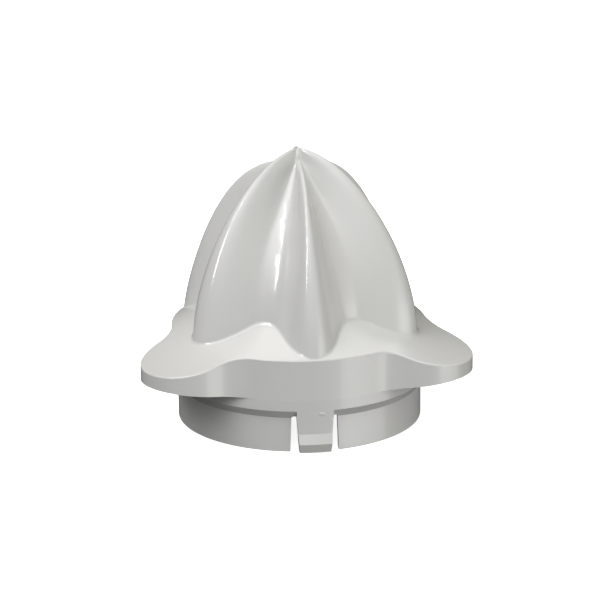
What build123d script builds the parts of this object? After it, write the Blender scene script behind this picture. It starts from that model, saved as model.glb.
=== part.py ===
from build123d import *
import os
from math import cos, hypot, radians, sin

# Reamer cone of a citrus juicer, millimetres, +Z up the cone's axis.
# Origin: on the axis, in the plane of the collar's lower rim.  The front snap tab faces -Y.

# ------------------------------------------------------------------ driving dimensions
wall = 2.0                  # general moulded wall
touch = 0.03                # gap between faces of pieces that are welded or pressed together

# the brim: a round drum with three lobes, under a hollow-sided conical roof
drum_radius = 40.25
lobe_centre = 41.9          # centre of each lobe's tip arc
lobe_radius = 15.5
lobe_blend = 12.0           # hollow arc from each lobe into the drum
overall_radius = lobe_centre + lobe_radius
roof_points = ((25.0, 38.5), (drum_radius, 29.9),       # radius, height: under the dome's foot,
               (overall_radius + 1.0, 23.95))           # over the drum's wall, past the lobes' tips
split_z = 17.0              # where the reamer stops and the collar starts
lobe_rise = 0.161           # slope of the lobes' underside
brim_edge = 0.5             # round along the upper edge of the brim

# the fluted dome: three major ribs over the lobes, three minor ribs over the recesses.
# Each profile is (radius at the base, exponent along Z, exponent along the radius).
dome_base_z = 28.0          # hidden lower end of the dome's surface, inside the brim
apex_z = 86.4
rib_ledge = 0.25            # the minor ribs stand this far inside the drum's wall
minor_drop = 4.4            # the minor ribs rise out of the dome this far below its tip
major_rib = (39.7, 1.80, 1.70)
minor_rib = (drum_radius - rib_ledge, 1.30, 2.55)
flute = (27.6, 2.50, 0.70)
groove_floor = 0.2          # near the tip the grooves keep this share of the major ribs' radius
major_crisp = (1.0, 1.5)    # narrowness of a rib at the base and at the tip; 1 is a cosine wave
minor_crisp = (1.1, 4.0)
section_steps = (1, 0.92, 0.84, 0.76, 0.68, 0.60, 0.52, 0.45,     # where the dome is drawn:
                 0.39, 0.34, 0.30, 0.26, 0.21, 0.15, 0.09, 0.04)  # roots of the share below the tip
dome_wall = 2.2             # from the dome's face to its hollow, along the radius
hollow_drop = 5.0           # the hollow's tip below the dome's: the tip is moulded thick
hollow_fill = 0.4           # share of each rib that is solid at the tip, so none gets too thin

# the collar
collar_step = 1.75          # the skirt is this much smaller in radius than the drum
collar_radius = drum_radius - collar_step
collar_wall = 2.0
chamfer_low_z = 11.0
chamfer_high_z = 13.65
spigot_height = 4.0         # plugs up into the drum

# the three snap tabs, at the middle of the recesses
tab_root_width = 11.4
tab_foot_width = 9.8
tab_thickness = 1.6
tab_foot_z = 0.3
slot_root_width = 1.4       # the slots beside each tab widen downward
slot_foot_width = 2.6
slot_top_z = 11.6           # where the slots end and the tabs are rooted
barb_out = 1.2              # how far the barb stands out of the tab
barb_root_z = 6.2
barb_nose_z = 3.2
barb_foot_out = 0.2
root_gap = 0.02             # shown as a hairline: the real tab is one with the collar

# the drive hub and its webs
hub_radius = 8.0
hub_low_z = 6.0
hub_top_z = 62.0
socket_radius = 5.0
socket_depth = 34.0
key_width = 2.4
key_depth = 1.2
web_thickness = 1.6
web_low_z = 30.0

front = -90.0               # direction of the front tab
recess_angles = [front + 120 * k for k in range(3)]
lobe_angles = [a + 60 for a in recess_angles]


# ------------------------------------------------------------------ shared shapes
def swell(profile, inset, top_z, z):
    """Radius at height z of a dome profile: a superellipse quarter."""
    radius, along, across = profile
    t = min((z - dome_base_z) / (top_z - dome_base_z), 1)
    return (radius - inset) * (1 - t ** along) ** (1 / across)


def dome(inset, drop, fill):
    """Solid ribbed dome down to dome_base_z, set in along the radius and lowered at its tip."""
    top = apex_z - drop
    sections = []
    for u in section_steps:
        rise = 1 - u * u
        z = dome_base_z + (top - dome_base_z) * rise
        low = max(swell(flute, inset, top, z), groove_floor * swell(major_rib, inset, top, z))
        ribs = []
        for profile, rib_top, (foot, tip) in (
                (minor_rib, top - minor_drop, minor_crisp), (major_rib, top, major_crisp)):
            height = max(swell(profile, inset, rib_top, z) - low, 0)
            ribs.append((height * (1 - fill * rise), foot + (tip - foot) * rise))
        points = []
        for i in range(72):
            height, power = ribs[round(i / 12) % 2]
            r = low + height * (cos(radians(15 * i)) ** 2) ** power
            a = radians(front + 5 * i)
            points.append(Vector(r * cos(a), r * sin(a), z))
        even = [i / 72 for i in range(73)]      # so that the loft joins points of equal bearing
        sections.append(Wire([Edge.make_spline(points, periodic=True, parameters=even)]))
    return Solid.make_loft(sections + [Vertex(0, 0, top)])


def lobe_discs(radius):
    """Three discs of one radius, one at the middle of each lobe."""
    discs = Sketch()
    for a in lobe_angles:
        discs += Pos(lobe_centre * cos(radians(a)), lobe_centre * sin(radians(a))) * Circle(radius)
    return discs


def under_roof(drop, low_z, slope):
    """Everything below the brim's roof, lowered by drop, and above low_z + slope past the drum."""
    inner, middle, outer = ((r, z - drop) for r, z in roof_points)
    side = Polyline(outer, (outer[0], low_z + slope * (outer[0] - drum_radius)),
                    (drum_radius, low_z), (0, low_z), (0, inner[1]), inner)
    return revolve(Plane.XZ * make_face(Curve() + [ThreePointArc(inner, middle, outer), side]), Axis.Z)


def ring(inner, outer, low_z, high_z):
    height = high_z - low_z
    return Pos(0, 0, low_z) * (extrude(Circle(outer), height) - extrude(Circle(inner), height))


def tapered(root_width, foot_width):
    """Block across the wall on +X under slot_top_z, its two sides running straight down."""
    below = -2.0
    low_width = root_width + (foot_width - root_width) * (slot_top_z - below) / slot_top_z
    face = Polyline((-low_width / 2, below), (low_width / 2, below),
                    (root_width / 2, slot_top_z), (-root_width / 2, slot_top_z), close=True)
    return Pos(drum_radius - 3 * wall, 0, 0) * extrude(Plane.YZ * make_face(face), 6 * wall)


def turned(shape, angle):
    """Copy of a shape drawn for +X, turned about the axis to face another way."""
    return Rot(0, 0, angle) * shape


# ------------------------------------------------------------------ the reamer shell
roof_wall = wall * 1.08                     # measured upright; 2 mm square to the sloping roof
brim_plan = Circle(drum_radius) + lobe_discs(lobe_radius)
brim_plan = fillet(brim_plan.vertices(), lobe_blend)
brim = Pos(0, 0, split_z) * extrude(brim_plan, apex_z) & under_roof(0, split_z, lobe_rise)
lip_edges = [e for e in brim.edges()          # not the upright seams, nor those on the roof
             if e.center().Z > (split_z + roof_points[2][1]) / 2 and abs((e % 0.5).Z) < 0.9
             and all(hypot(v.X, v.Y) > roof_points[0][0] + wall for v in e.vertices())]
brim = fillet(lip_edges, brim_edge)
outside = Part() + brim + dome(0, 0, 0)

cavity_roof = under_roof(roof_wall, split_z - 1, 0)
drum_hollow = Pos(0, 0, split_z - 1) * extrude(Circle(drum_radius - wall), apex_z) & cavity_roof
inner_dome = dome(dome_wall, hollow_drop, hollow_fill)
cavity = Part() + drum_hollow + inner_dome
pocket_plan = lobe_discs(lobe_radius - wall) - Circle(drum_radius)
pockets = Pos(0, 0, split_z - 1) * extrude(pocket_plan, apex_z) & cavity_roof

reamer_shell = outside - cavity - pockets


# ------------------------------------------------------------------ the collar
spigot_radius = drum_radius - wall - touch
collar_section = Polyline(
    (collar_radius - collar_wall, 0), (collar_radius, 0), (collar_radius, chamfer_low_z),
    (drum_radius, chamfer_high_z), (drum_radius, split_z), (spigot_radius, split_z),
    (spigot_radius, split_z + spigot_height), (collar_radius - collar_wall, split_z + spigot_height),
    close=True)
clip_collar = revolve(Plane.XZ * make_face(collar_section), Axis.Z)

notch = tapered(tab_root_width + 2 * slot_root_width, tab_foot_width + 2 * slot_foot_width)
notch = fillet(notch.edges().filter_by(Axis.X).group_by(Axis.Z)[-1], slot_root_width / 2)
pad = Pos(drum_radius - wall / 2, 0, (slot_top_z + split_z) / 2) * Box(
    wall * 2, tab_root_width, split_z - slot_top_z)
pad &= ring(collar_radius - collar_wall, drum_radius, slot_top_z, split_z)
for a in recess_angles:
    clip_collar += turned(pad, a)
    clip_collar -= turned(notch, a)


# ------------------------------------------------------------------ a snap tab
tab_inner = drum_radius - tab_thickness
tab_section = Polyline(
    (tab_inner, slot_top_z - root_gap), (drum_radius, slot_top_z - root_gap),
    (drum_radius, barb_root_z), (drum_radius + barb_out, barb_nose_z),
    (drum_radius + barb_foot_out, tab_foot_z), (tab_inner, tab_foot_z), close=True)
tab = revolve(Plane.XZ * make_face(tab_section), Axis.Z)
tab &= tapered(tab_root_width, tab_foot_width)


# ------------------------------------------------------------------ the drive hub and webs
hub = Pos(0, 0, hub_low_z) * extrude(Circle(hub_radius), hub_top_z - hub_low_z)
drive_hub = hub - Pos(0, 0, hub_low_z) * extrude(Circle(socket_radius), socket_depth)
keyway = Pos(0, 0, hub_low_z + socket_depth / 2) * Box(
    2 * (socket_radius + key_depth), key_width, socket_depth)
drive_hub -= keyway

web = Pos(overall_radius / 2, 0, (web_low_z + hub_top_z) / 2) * Box(
    overall_radius, web_thickness, hub_top_z - web_low_z)
webs = Part()
for k in range(6):
    webs += turned(web, front + 30 + 60 * k)
hub_webs = (webs & inner_dome) - Cylinder(hub_radius + touch, 4 * apex_z)


# ------------------------------------------------------------------ files
pieces = {
    "reamer_shell": reamer_shell,
    "clip_collar": clip_collar,
    "snap_tab_front": turned(tab, recess_angles[0]),
    "snap_tab_right": turned(tab, recess_angles[1]),
    "snap_tab_left": turned(tab, recess_angles[2]),
    "drive_hub": drive_hub,
    "hub_webs": hub_webs,
}
os.makedirs("parts", exist_ok=True)
for name, piece in pieces.items():
    export_step(piece, f"parts/{name}.step")
    print(name, piece.is_valid, round(piece.volume), [round(v, 2) for v in piece.bounding_box().size])
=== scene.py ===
import math

import bpy
from mathutils import Matrix, Vector


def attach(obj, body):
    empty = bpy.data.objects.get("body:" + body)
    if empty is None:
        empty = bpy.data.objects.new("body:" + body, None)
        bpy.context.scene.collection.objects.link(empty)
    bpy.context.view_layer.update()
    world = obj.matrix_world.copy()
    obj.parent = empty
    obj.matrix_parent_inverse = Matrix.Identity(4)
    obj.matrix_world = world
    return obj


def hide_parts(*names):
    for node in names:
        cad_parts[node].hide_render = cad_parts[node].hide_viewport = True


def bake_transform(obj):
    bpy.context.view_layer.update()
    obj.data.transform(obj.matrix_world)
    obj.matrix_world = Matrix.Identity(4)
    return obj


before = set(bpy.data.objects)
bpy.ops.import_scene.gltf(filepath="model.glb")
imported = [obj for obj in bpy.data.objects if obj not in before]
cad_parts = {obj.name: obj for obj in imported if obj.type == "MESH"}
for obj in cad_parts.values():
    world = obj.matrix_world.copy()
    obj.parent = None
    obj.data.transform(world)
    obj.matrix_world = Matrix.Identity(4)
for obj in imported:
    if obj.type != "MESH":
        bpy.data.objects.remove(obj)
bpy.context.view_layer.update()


# Table top: matt white laminate.  The cone stands on it by the lower rim of its collar.  It shows
# only to the camera, so that it neither lights nor shades the work.
bpy.ops.object.select_all(action="DESELECT")
bpy.ops.mesh.primitive_plane_add(size=6.0, location=(0, 0, -0.0001))
table_top = bpy.context.object
table_top.name = "table_top"
bpy.ops.object.mode_set(mode="EDIT")
bpy.ops.mesh.subdivide(number_cuts=3)
bpy.ops.object.mode_set(mode="OBJECT")
bpy.ops.object.transform_apply(location=True)

laminate = bpy.data.materials.new("white_laminate")
laminate.use_nodes = True
laminate_face = laminate.node_tree.nodes["Principled BSDF"]
laminate_face.inputs["Base Color"].default_value = (0.93, 0.93, 0.93, 1)
laminate_face.inputs["Roughness"].default_value = 0.6
laminate_face.inputs["Specular IOR Level"].default_value = 0.2
laminate_face.inputs["Emission Color"].default_value = (1, 1, 1, 1)
laminate_face.inputs["Emission Strength"].default_value = 0.85
laminate.cycles.emission_sampling = "NONE"
table_top.data.materials.append(laminate)
table_top.visible_diffuse = False
table_top.visible_glossy = False
table_top.visible_shadow = False


# Reamer shell: one glossy pale ABS moulding, the ribbed dome with its lobed brim.  The mould is
# polished on the outside, so the face shows only a faint flow ripple and handling scuffs.
class Tap:
    """A shader socket that Python's operators work on."""

    def __init__(self, tree, socket):
        self.tree, self.socket = tree, socket

    def node(self, kind, settings=None, pick=0, **sockets):
        """Adds a node, makes its settings, fills its sockets and gives back one output."""
        made = self.tree.nodes.new("ShaderNode" + kind)
        for key, value in (settings or {}).items():
            if key == "stops":
                for stop, (place, shade) in zip(made.color_ramp.elements, value):
                    stop.position, stop.color = place, (shade, shade, shade, 1)
            else:
                setattr(made, key, value)
        for key, value in sockets.items():
            place = int(key[1:]) if key[0] == "_" else key
            if isinstance(value, Tap):
                self.tree.links.new(value.socket, made.inputs[place])
            else:
                made.inputs[place].default_value = value
        return Tap(self.tree, made.outputs[pick])

    def maths(self, operation, other, turned=False):
        """Adds a Math node that works on this and another value, the other first if turned."""
        a, b = (other, self) if turned else (self, other)
        return self.node("Math", {"operation": operation}, _0=a, _1=b)

    def __add__(self, other):
        return self.maths("ADD", other)

    def __radd__(self, other):
        return self.maths("ADD", other, True)

    def __sub__(self, other):
        return self.maths("SUBTRACT", other)

    def __rsub__(self, other):
        return self.maths("SUBTRACT", other, True)

    def __mul__(self, other):
        return self.maths("MULTIPLY", other)

    def __rmul__(self, other):
        return self.maths("MULTIPLY", other, True)

    def __rpow__(self, other):
        return self.maths("POWER", other, True)


def moulded_plastic(name, pale, shade, gloss, ripple):
    """Opaque ABS: a soft drift of colour, flow lines along the mould's draw, scuffs, fine grain,
    and wear where the lower rim is set down."""
    plastic = bpy.data.materials.new(name)
    plastic.use_nodes = True
    face = plastic.node_tree.nodes["Principled BSDF"]
    links = plastic.node_tree.links
    here = Tap(plastic.node_tree, None)
    place = here.node("TexCoord", pick="Object")
    along_draw = here.node("VectorMath", {"operation": "MULTIPLY"}, _0=place, _1=(1.0, 1.0, 0.05))
    drift = here.node("TexNoise", Vector=place, Scale=22.0, Detail=3.0, Roughness=0.5)
    flow = here.node("TexNoise", Vector=along_draw, Scale=700.0, Detail=3.0, Roughness=0.6)
    scuff = here.node("TexNoise", Vector=place, Scale=420.0, Detail=4.0, Roughness=0.65)
    scuff = here.node("ValToRGB", {"stops": ((0.55, 0.0), (0.75, 1.0))}, Fac=scuff)
    grain = here.node("TexNoise", Vector=place, Scale=2600.0, Detail=2.0, Roughness=0.5)
    height_mm = here.node("SeparateXYZ", Vector=place, pick=2) * 1000.0
    rim_wear = math.e ** (height_mm * -1.2)

    tone = (drift - 0.5) * 0.9 + (flow - 0.5) * 0.35 + scuff * 0.25 + rim_wear * 0.5 + 0.4
    colour = here.node("Mix", {"data_type": "RGBA"}, pick=2, _0=tone, _6=(*pale, 1), _7=(*shade, 1))
    links.new(colour.socket, face.inputs["Base Color"])

    dull = scuff * 0.06 + (drift - 0.5) * 0.05 + (flow - 0.5) * 0.05 + rim_wear * 0.2 + gloss
    links.new(dull.socket, face.inputs["Roughness"])

    relief = drift * 0.7 + flow * 0.012 + grain * 0.015 - scuff * 0.008
    bump = here.node("Bump", Height=relief, Strength=ripple, Distance=0.0004)
    links.new(bump.socket, face.inputs["Normal"])
    face.inputs["IOR"].default_value = 1.53
    return plastic


shell_plastic = moulded_plastic(
    "shell_plastic", pale=(0.665, 0.665, 0.655), shade=(0.63, 0.63, 0.615), gloss=0.15, ripple=0.05
)
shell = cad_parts["reamer_shell"]
shell.data.materials.clear()
shell.data.materials.append(shell_plastic)


# Foot radius: where the ribs stand on the brim the mould is rounded, so a hollow fillet of the
# same plastic runs round the dome's foot.  It narrows to nothing where a minor rib meets the
# brim's edge.  Sizes here are in millimetres.
base_z, apex_z, minor_top_z = 28.0, 86.4, 82.0
brim_edge_radius = 39.85
fillet_room, sunk_corner = 1.1, 0.08


def profile(radius, along, across, top, z):
    """Radius in millimetres at height z of one of the dome's three profiles."""
    t = min(max((z - base_z) / (top - base_z), 0.0), 1.0)
    return radius * (1.0 - t ** along) ** (1.0 / across)


def over_major_rib(bearing):
    """Whether a bearing in degrees from the front tab is nearer to a major rib than a minor one."""
    return round(bearing / 60.0) % 2 == 1


def dome_radius(bearing, z):
    """Radius of the ribbed dome at a bearing and a height."""
    rise = (z - base_z) / (apex_z - base_z)
    flute = profile(radius=27.6, along=2.5, across=0.7, top=apex_z, z=z)
    if over_major_rib(bearing):
        rib = profile(radius=39.7, along=1.8, across=1.7, top=apex_z, z=z)
        swell, crisp = rib - flute, 1.0 + 0.5 * rise
    else:
        rib = profile(radius=40.0, along=1.3, across=2.55, top=minor_top_z, z=z)
        swell, crisp = max(rib - flute, 0.0), 1.1 + 2.9 * rise
    return flute + swell * (math.cos(math.radians(3.0 * bearing)) ** 2) ** crisp


def roof_height(radius):
    """Height of the brim's roof: a circle through three points of its section."""
    (x1, y1), (x2, y2), (x3, y3) = (25.0, 38.5), (40.25, 29.9), (58.4, 23.95)
    d = 2 * (x1 * (y2 - y3) + x2 * (y3 - y1) + x3 * (y1 - y2))
    q1, q2, q3 = x1 * x1 + y1 * y1, x2 * x2 + y2 * y2, x3 * x3 + y3 * y3
    cx = (q1 * (y2 - y3) + q2 * (y3 - y1) + q3 * (y1 - y2)) / d
    cy = (q1 * (x3 - x2) + q2 * (x1 - x3) + q3 * (x2 - x1)) / d
    return cy - math.sqrt((x1 - cx) ** 2 + (y1 - cy) ** 2 - (radius - cx) ** 2)


def foot_point(bearing):
    """Radius and height where the dome meets the roof at one bearing, found by halving."""
    low, high = base_z, 45.0
    for _ in range(40):
        middle = (low + high) / 2
        if middle < roof_height(dome_radius(bearing, middle)):
            low = middle
        else:
            high = middle
    return dome_radius(bearing, low), low


def foot_fillet(bearing, count):
    """Radius and height of the points round the foot's fillet at one bearing: the corner sunk in
    the shell, the hollow arc from the roof to the dome, and the same corner again."""
    foot_r, foot_z = foot_point(bearing)
    foot = Vector((foot_r, foot_z))
    along_roof = Vector((0.2, roof_height(foot.x + 0.1) - roof_height(foot.x - 0.1))).normalized()
    up_dome = Vector((dome_radius(bearing, foot_z + 0.2) - foot.x, 0.2)).normalized()
    room = fillet_room
    if not over_major_rib(bearing):
        room = min(room, max(0.04, brim_edge_radius - foot.x))
    # The hollow stands a hair proud of the shell, and sinks into it where the room narrows.
    proud = 0.012 - 0.12 * max(0.0, 1.0 - room / 0.9)
    corner = foot - Vector((sunk_corner, sunk_corner))
    hollow = []
    for i in range(count - 2):
        s = i / (count - 3)
        on_arc = (1 - s) ** 2 * along_roof + s * s * up_dome
        hollow.append(foot + room * on_arc + Vector((proud, proud)))
    return [corner, *hollow, corner]


bpy.ops.object.select_all(action="DESELECT")
bpy.ops.mesh.primitive_grid_add(x_subdivisions=288, y_subdivisions=11, size=0.1)
foot_radius = bpy.context.object
foot_radius.name = "foot_radius"
columns = sorted({round(v.co.x, 6) for v in foot_radius.data.vertices})
rows = sorted({round(v.co.y, 6) for v in foot_radius.data.vertices})
bearings = [360.0 * i / (len(columns) - 1) for i in range(len(columns))]
fillets = [foot_fillet(bearing, len(rows)) for bearing in bearings]
for v in foot_radius.data.vertices:
    i, k = columns.index(round(v.co.x, 6)), rows.index(round(v.co.y, 6))
    bearing = math.radians(bearings[i])
    r, z = fillets[i][k]
    v.co = Vector((r * math.sin(bearing), -r * math.cos(bearing), z)) / 1000
bpy.ops.object.mode_set(mode="EDIT")
bpy.ops.mesh.select_all(action="SELECT")
bpy.ops.mesh.remove_doubles(threshold=0.000001)
bpy.ops.mesh.normals_make_consistent(inside=False)
bpy.ops.object.mode_set(mode="OBJECT")
bpy.ops.object.shade_smooth_by_angle(angle=math.radians(50))
foot_radius.data.materials.append(shell_plastic)
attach(foot_radius, "cone")


# Clip collar: a ring moulded in the same ABS, pressed up into the drum of the shell.  Its skirt is
# slotted on both sides of each snap tab.
collar_plastic = moulded_plastic(
    "collar_plastic", pale=(0.645, 0.645, 0.635), shade=(0.61, 0.61, 0.60), gloss=0.16, ripple=0.05
)
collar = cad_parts["clip_collar"]
collar.data.materials.clear()
collar.data.materials.append(collar_plastic)


# Snap tabs: three elastic arms moulded in one with the collar, so the skin of each runs on
# unbroken into the band above it.  A barb at the foot springs out under the strainer's rim.
# The section's sizes are in millimetres.
tab_outer, tab_inner, root_z = 40.25, 38.65, 11.6
half_root, half_foot = 5.7, 4.9
section = [(tab_outer, z) for z in (15.0, 13.0, 12.4, 11.6, 10.8, 10.0, 9.2, 8.4, 7.2, 6.2)]
section += [(41.45, 3.2), (40.45, 0.3)]
section += [(tab_inner, z) for z in (0.3, 3.2, 6.2, 8.4, 9.2, 10.0, 10.8, 11.6, 12.4, 13.0)]
bpy.ops.object.select_all(action="DESELECT")
bpy.ops.mesh.primitive_circle_add(vertices=len(section), radius=0.005, fill_type="NGON")
first_tab = bpy.context.object
for v, (r, z) in zip(first_tab.data.vertices, section):
    v.co = Vector((0, -r, z)) / 1000
sweep = 2 * math.asin(half_root / tab_outer)
bpy.ops.object.mode_set(mode="EDIT")
bpy.ops.mesh.select_all(action="SELECT")
bpy.ops.transform.rotate(value=sweep / 2, orient_axis="Z", center_override=(0, 0, 0))
bpy.ops.mesh.spin(steps=10, dupli=False, angle=sweep, center=(0, 0, 0), axis=(0, 0, 1))
bpy.ops.mesh.select_all(action="SELECT")
bpy.ops.mesh.remove_doubles(threshold=0.000002)
bpy.ops.mesh.normals_make_consistent(inside=False)
bpy.ops.object.mode_set(mode="OBJECT")

# The swept arc is made as wide as the tab at each height: it tapers below the root.
swept = [math.atan2(v.co.x, -v.co.y) for v in first_tab.data.vertices]
middle_bearing = sum(swept) / len(swept)
for v, bearing in zip(first_tab.data.vertices, swept):
    half = half_root - (half_root - half_foot) * max(root_z - v.co.z * 1000, 0) / root_z
    x = (bearing - middle_bearing) / (sweep / 2) * half / 1000
    v.co = (x, -math.sqrt(v.co.xy.length_squared - x * x), v.co.z)

# The long outer edges of the free arm are rounded.
bpy.ops.object.mode_set(mode="EDIT")
bpy.ops.mesh.select_all(action="DESELECT")
bpy.ops.object.mode_set(mode="OBJECT")
for edge in first_tab.data.edges:
    ends = [first_tab.data.vertices[i].co * 1000 for i in edge.vertices]
    slants = [abs(c.x) / c.xy.length for c in ends]
    on_a_side = abs(slants[1] - slants[0]) < 0.02 and min(abs(c.x) for c in ends) > half_foot - 0.3
    on_the_face = min(c.xy.length for c in ends) > tab_outer - 0.2
    edge.select = on_a_side and on_the_face and max(c.z for c in ends) < 11.0
bpy.ops.object.mode_set(mode="EDIT")
bpy.ops.mesh.bevel(offset=0.0002, segments=2)
bpy.ops.object.mode_set(mode="OBJECT")
bpy.ops.object.shade_smooth_by_angle(angle=math.radians(20))

# Each skin is a copy of the first, turned round the axis to its tab's bearing in degrees.
for side, bearing in (("front", 0), ("right", 120), ("left", 240)):
    snap_tab = bpy.data.objects.new("tab_skin_" + side, first_tab.data.copy())
    bpy.context.scene.collection.objects.link(snap_tab)
    spun = Matrix.Rotation(math.radians(bearing), 4, "Z")
    snap_tab.data.transform(spun)
    snap_tab.data.materials.append(collar_plastic)
    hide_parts("snap_tab_" + side)
    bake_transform(snap_tab)
bpy.data.objects.remove(first_tab)


# Gate mark: the small low pip that is left on the band over the front tab where the runner of the
# mould was broken off and rubbed down.
bpy.ops.object.select_all(action="DESELECT")
bpy.ops.mesh.primitive_uv_sphere_add(
    segments=24, ring_count=12, radius=0.0007, location=(0.0019, -0.04015, 0.0126)
)
gate_mark = bpy.context.object
gate_mark.name = "gate_mark"
bpy.ops.object.mode_set(mode="EDIT")
bpy.ops.transform.resize(value=(1.4, 0.26, 0.8), center_override=(0.0019, -0.0402, 0.0126))
bpy.ops.object.mode_set(mode="OBJECT")
bpy.ops.object.transform_apply(location=True, rotation=True, scale=True)
bpy.ops.object.shade_smooth()
gate_mark.data.materials.append(collar_plastic)
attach(gate_mark, "cone")


# Drive hub and webs: the tube that takes the juicer's spindle and the six thin walls that carry
# it, moulded inside the dome and left as they come from the mould.
hub_plastic = moulded_plastic(
    "hub_plastic", pale=(0.60, 0.60, 0.59), shade=(0.57, 0.57, 0.56), gloss=0.3, ripple=0.1
)
for name in ("drive_hub", "hub_webs"):
    hub_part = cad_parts[name]
    hub_part.data.materials.clear()
    hub_part.data.materials.append(hub_plastic)


# Camera: a long lens 0.95 m off, just left of the front tab and above the brim.  Climb is its
# height over the foot of the axis, droop, pan and roll aim it, and turn carries it round the axis,
# all in degrees.
reach = 0.9545455
climb, droop, pan, roll, turn = (math.radians(v) for v in (19.477, 17.373, 0.023, -0.363, -6.924))
look = Vector((math.sin(pan) * math.cos(droop), math.cos(pan) * math.cos(droop), -math.sin(droop)))
right = look.cross(Vector((0, 0, 1))).normalized()
up = right.cross(look)
tilted_right = right * math.cos(roll) + up * math.sin(roll)
tilted_up = up * math.cos(roll) - right * math.sin(roll)
pose = Matrix((tilted_right, tilted_up, -look)).transposed().to_4x4()
pose.translation = Vector((0, -reach * math.cos(climb), reach * math.sin(climb)))
eye = bpy.data.cameras.new("camera")
eye.sensor_width = 36.0
eye.lens = 179.4648
eye.clip_start, eye.clip_end = 0.05, 20.0
camera = bpy.data.objects.new("camera", eye)
camera.matrix_world = Matrix.Rotation(turn, 4, "Z") @ pose
bpy.context.scene.collection.objects.link(camera)
bpy.context.scene.camera = camera


# Studio light: a tent of white cloth, lit from outside by lamps that each make a soft glow on it.
# Inside, four panels show only in the gloss: one high behind for the brim's roof, two narrow ones
# for the left ribs, a low one on the right for the walls.  Three more give the far side matt light.
def toward(bearing, height):
    """Direction from the cone at a bearing and a height in radians, from over the front tab."""
    level = math.cos(height)
    return Vector((math.sin(bearing) * level, -math.cos(bearing) * level, math.sin(height)))


tent = bpy.data.worlds.new("tent")
tent.use_nodes = True
cloth = Tap(tent.node_tree, None)
sky = cloth.node("TexCoord", pick="Generated")
glow = (0.008, 0.008, 0.008)
for bearing, height, tightness, colour in (
    (-63, 59, 16.0, (3.35, 3.33, 3.39)),
    (-10, 50, 16.0, (1.46, 1.49, 1.55)),
    (-43, 38, 16.0, (1.46, 1.46, 1.48)),
    (50, 1, 16.0, (1.21, 1.22, 1.15)),
    (38, -23, 16.0, (1.00, 1.01, 1.04)),
    (-148, 53, 16.0, (0.21, 0.20, 0.17)),
    (-115, 64, 6.0, (0.60, 0.58, 0.50)),
    (62, -13, 6.0, (0.56, 0.54, 0.53)),
    (22, 56, 6.0, (0.38, 0.37, 0.27)),
    (-10, 30, 6.0, (0.31, 0.31, 0.32)),
    (-63, 44, 6.0, (0.12, 0.12, 0.15)),
):
    spot = tuple(toward(math.radians(bearing), math.radians(height)))
    near = cloth.node("VectorMath", {"operation": "DOT_PRODUCT"}, pick="Value", _0=sky, _1=spot)
    patch = math.e ** (near * tightness - tightness)
    glow = cloth.node("VectorMath", {"operation": "MULTIPLY_ADD"}, _0=patch, _1=colour, _2=glow)
seen = cloth.node("LightPath", pick="Is Camera Ray")
white = (1.0, 1.0, 1.0, 1.0)
backdrop = cloth.node("Mix", {"data_type": "RGBA"}, pick=2, _0=seen, _6=glow, _7=white)
tent.node_tree.links.new(backdrop.socket, tent.node_tree.nodes["Background"].inputs["Color"])
bpy.context.scene.world = tent


def soft_panel(name, bearing, height, width, tall, radiance, in_gloss=True):
    """Soft box a metre off, seen only in the gloss, or only in the matt light.  Bearing, to the
    right of the camera, height, width and tallness are in degrees."""
    lamp = bpy.data.lights.new(name, "AREA")
    lamp.shape = "RECTANGLE"
    lamp.size = 2 * math.tan(math.radians(width / 2))
    lamp.size_y = 2 * math.tan(math.radians(tall / 2))
    lamp.energy = radiance * math.pi * lamp.size * lamp.size_y
    middle_of_dome = Vector((0, 0, 0.045))
    holder = bpy.data.objects.new(name, lamp)
    holder.location = middle_of_dome + toward(math.radians(bearing) + turn, math.radians(height))
    aim = middle_of_dome - holder.location
    holder.rotation_euler = aim.to_track_quat("-Z", "Y").to_euler()
    holder.visible_glossy = in_gloss
    holder.visible_diffuse = not in_gloss
    holder.visible_camera = False
    bpy.context.scene.collection.objects.link(holder)


soft_panel("top_panel", 150, 66, 60, 52, 1.8)
soft_panel("left_high_panel", -56, 48, 3.0, 15, 22.0)
soft_panel("left_low_panel", -51, 27, 3.2, 20, 42.0)
soft_panel("right_panel", 62, -20, 46, 44, 1.3)
for name, bearing in (("right_fill", 138), ("back_fill", 180), ("left_fill", -142)):
    soft_panel(name, bearing, -5, 50, 50, 1.15, in_gloss=False)
bpy.context.scene.view_settings.view_transform = "Standard"
